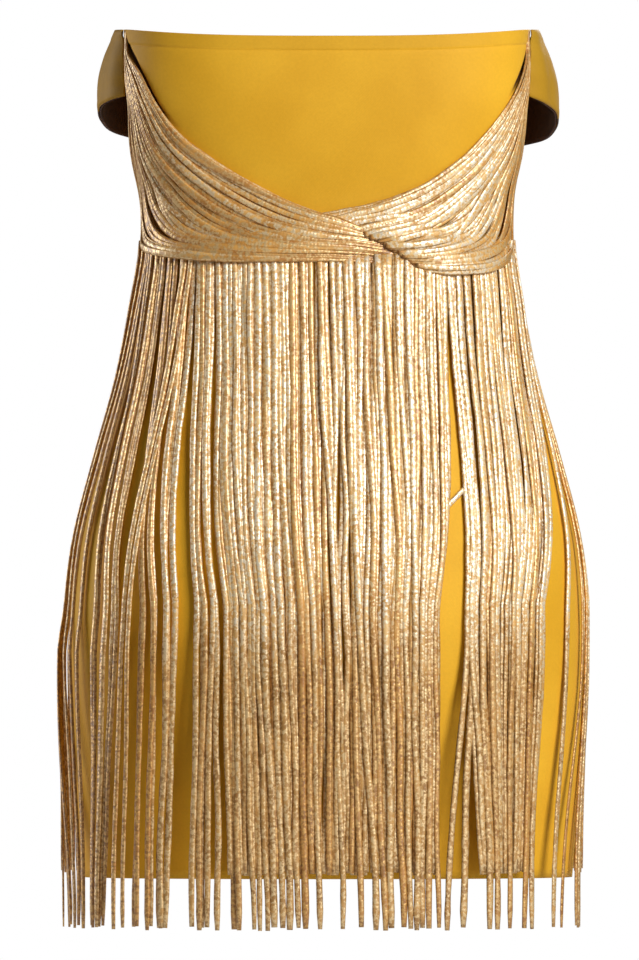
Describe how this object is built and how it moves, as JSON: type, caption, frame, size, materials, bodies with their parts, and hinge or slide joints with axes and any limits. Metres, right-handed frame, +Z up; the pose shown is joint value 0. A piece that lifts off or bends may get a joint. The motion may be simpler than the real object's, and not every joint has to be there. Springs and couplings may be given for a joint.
{
  "type": "fringed off-shoulder mini dress",
  "caption": "Off-shoulder bodycon mini dress with cap sleeves, two twisted strand swags and long fringe from the waist to below the hem.",
  "frame": {"origin": "middle of the neck opening, level with the neckline's corners, where a wearer holds the dress up", "axes": "+Z up along the body to the neckline; -Y the side with the twisted swags, which the picture shows; +X to that view's right"},
  "size_m": [0.3937, 0.2751, 0.676],
  "materials": {
    "golden_knit": "golden yellow stretch knit, smooth, matt satin",
    "dark_lining": "dark brown matt lining",
    "metallic_chainette": "champagne gold metallic chainette strands, sparkling"
  },
  "bodies": {
    "root": {"sheath_back": "golden_knit", "sheath_front": "golden_knit", "sleeve_left": "golden_knit", "sleeve_right": "golden_knit", "sleeve_lining_left": "dark_lining", "sleeve_lining_right": "dark_lining", "swag_left": "metallic_chainette", "swag_right": "metallic_chainette", "fringe_back_under": "metallic_chainette", "fringe_back_over": "metallic_chainette", "fringe_front": "metallic_chainette"}
  },
  "joints": []
}
